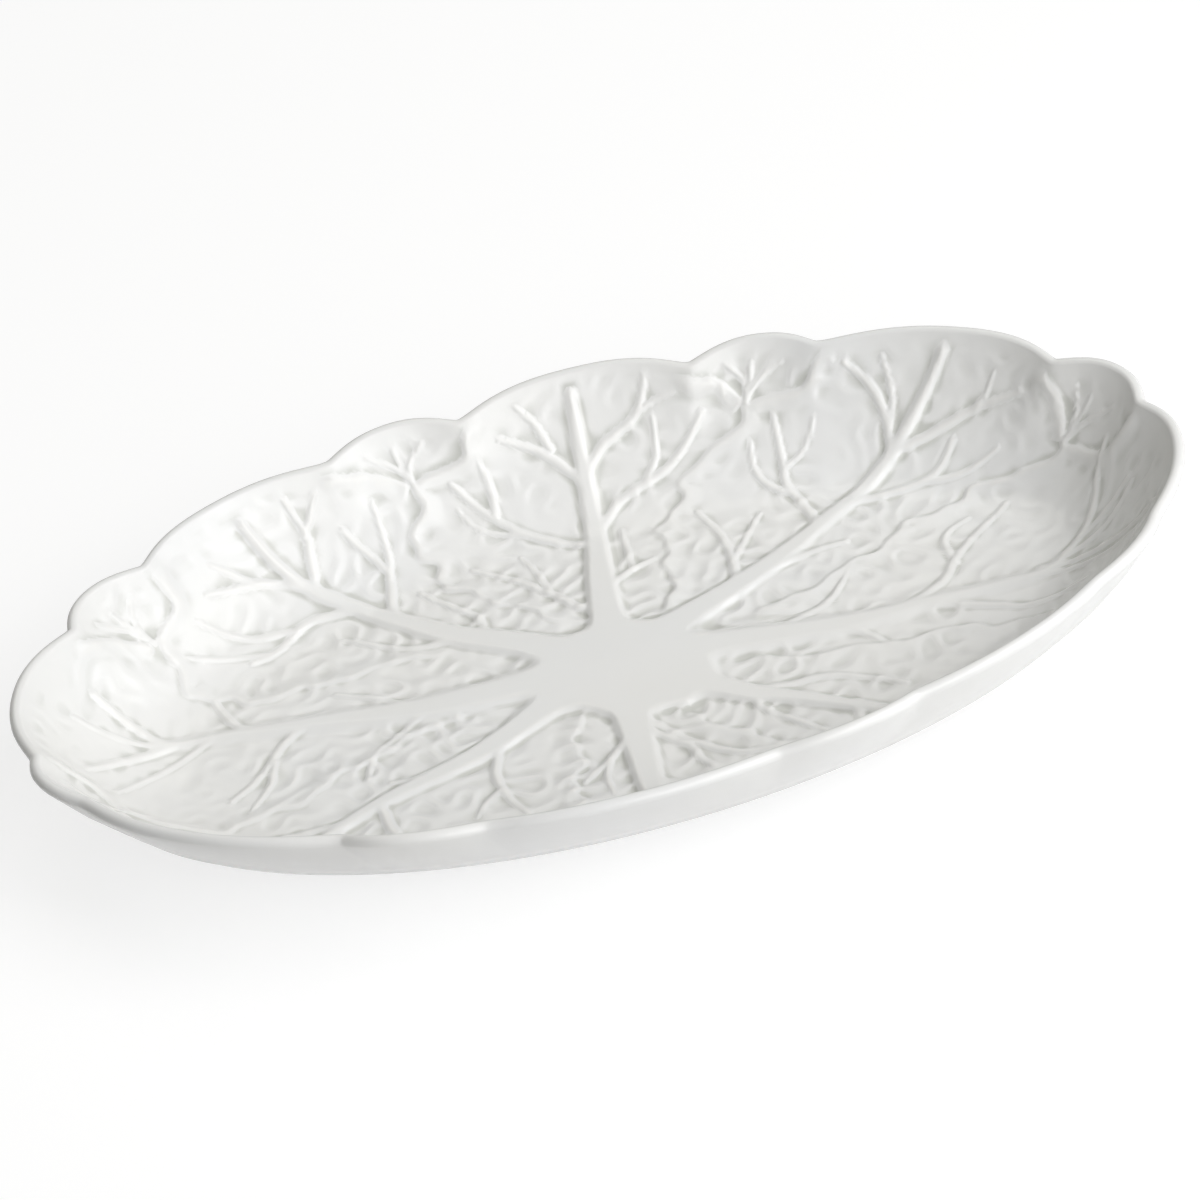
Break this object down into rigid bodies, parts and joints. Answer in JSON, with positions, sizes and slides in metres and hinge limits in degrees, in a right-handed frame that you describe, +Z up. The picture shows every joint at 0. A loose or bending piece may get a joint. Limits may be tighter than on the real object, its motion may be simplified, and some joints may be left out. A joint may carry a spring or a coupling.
{
  "type": "fish platter",
  "caption": "Oval serving platter in white glazed stoneware, moulded as overlapping cabbage leaves with raised ribs, forked veins and a scalloped lip, on a bare foot ring.",
  "frame": {"origin": "on the standing plane, under the middle of the oval", "axes": "+X along the oval's long axis, +Y along its short axis, +Z up out of the well"},
  "size_m": [0.4273, 0.2635, 0.053],
  "materials": {
    "glaze": "glossy",
    "bisque": "matt"
  },
  "bodies": {
    "root": {"clay_body": "bisque", "foot_ring": "bisque", "glaze_coat": "glaze", "base_glaze": "glaze"}
  },
  "joints": []
}
